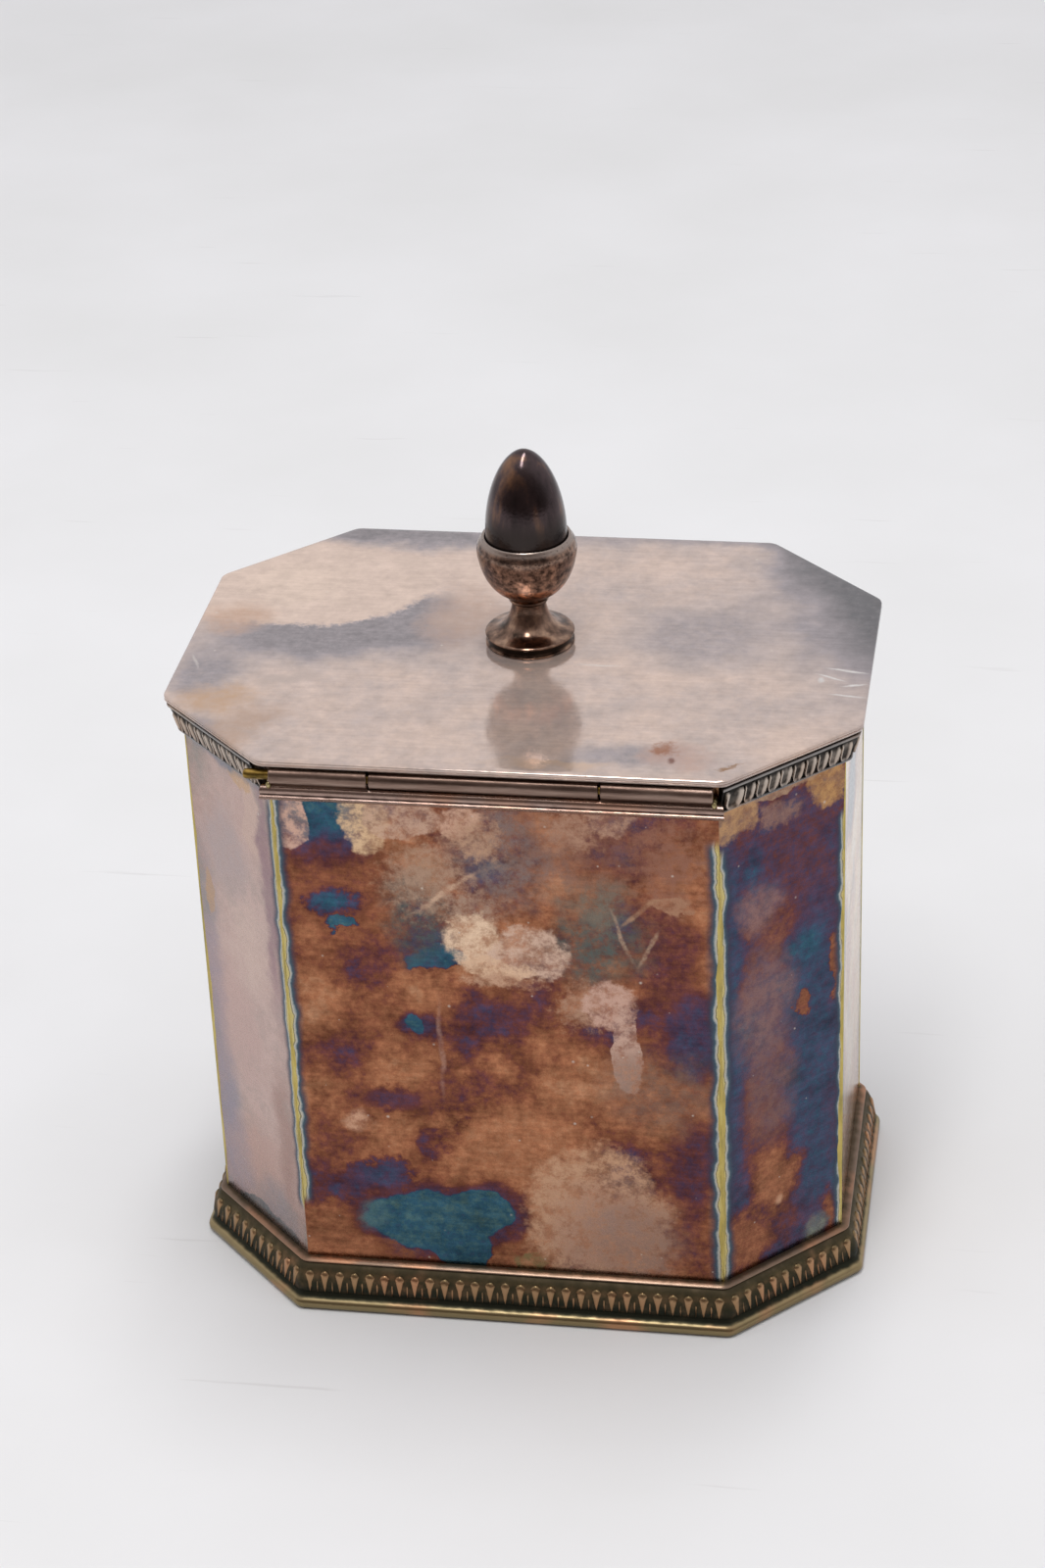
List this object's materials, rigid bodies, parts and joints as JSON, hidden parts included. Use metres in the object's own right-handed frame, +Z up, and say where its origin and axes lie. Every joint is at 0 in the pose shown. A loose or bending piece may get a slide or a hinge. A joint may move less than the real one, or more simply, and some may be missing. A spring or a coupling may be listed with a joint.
{
  "type": "octagonal tea caddy",
  "caption": "Cut-corner tea caddy in tarnished silver plate with a long-hinged flat lid, leaf mouldings and an acorn finial.",
  "frame": {"origin": "centre of the base, on the surface that the box stands on", "axes": "+Z up, front and opening edge at -Y, hinge at +Y, +X to the right seen from the front"},
  "size_m": [0.1222, 0.0902, 0.1505],
  "materials": {
    "wall_plate": "silver plate worn through to a rainbow tarnish, copper red, violet and steel blue, with pale worn patches",
    "lid_plate": "satin silver plate with a soft pinkish grey tarnish and fine brushing marks",
    "moulding_plate": "cast moulding, dark in the hollows and rubbed bright on the leaves and beads",
    "hinge_plate": "drawn tube and strip, brownish silver",
    "pin_brass": "dull brass wire",
    "under_plate": "plain sheet, dull grey",
    "finial_plate": "turned foot, brownish silver with a bright edge",
    "acorn_plate": "pitted casting, mottled brown",
    "acorn_nut_plate": "glossy dark brown violet tarnish",
    "fixing_brass": "turned brass, never polished"
  },
  "bodies": {
    "box": {"base_plate": "under_plate", "wall_front": "wall_plate", "wall_front_right": "wall_plate", "wall_right": "wall_plate", "wall_back_right": "wall_plate", "wall_back": "wall_plate", "wall_back_left": "wall_plate", "wall_left": "wall_plate", "wall_front_left": "wall_plate", "base_moulding_front": "moulding_plate", "base_moulding_front_right": "moulding_plate", "base_moulding_right": "moulding_plate", "base_moulding_back_right": "moulding_plate", "base_moulding_back": "moulding_plate", "base_moulding_back_left": "moulding_plate", "base_moulding_left": "moulding_plate", "base_moulding_front_left": "moulding_plate", "rim_moulding_front": "moulding_plate", "rim_moulding_front_right": "moulding_plate", "rim_moulding_right": "moulding_plate", "rim_moulding_back_right": "moulding_plate", "rim_moulding_back_left": "moulding_plate", "rim_moulding_left": "moulding_plate", "rim_moulding_front_left": "moulding_plate", "hinge_ledge": "hinge_plate", "knuckle_left": "hinge_plate", "knuckle_right": "hinge_plate", "hinge_pin": "pin_brass"},
    "lid": {"lid_plate": "lid_plate", "lid_bezel": "under_plate", "lid_knuckle": "hinge_plate", "finial_foot": "finial_plate", "acorn_cup": "acorn_plate", "acorn_nut": "acorn_nut_plate", "finial_stud": "fixing_brass", "finial_washer": "fixing_brass", "finial_fixing_nut": "fixing_brass"}
  },
  "joints": [
    {"name": "lid_hinge", "type": "hinge", "parent": "box", "child": "lid", "pos_m": [0, 0.0428, 0.1108], "axis": [-1, 0, 0], "range_deg": [0, 105]}
  ]
}
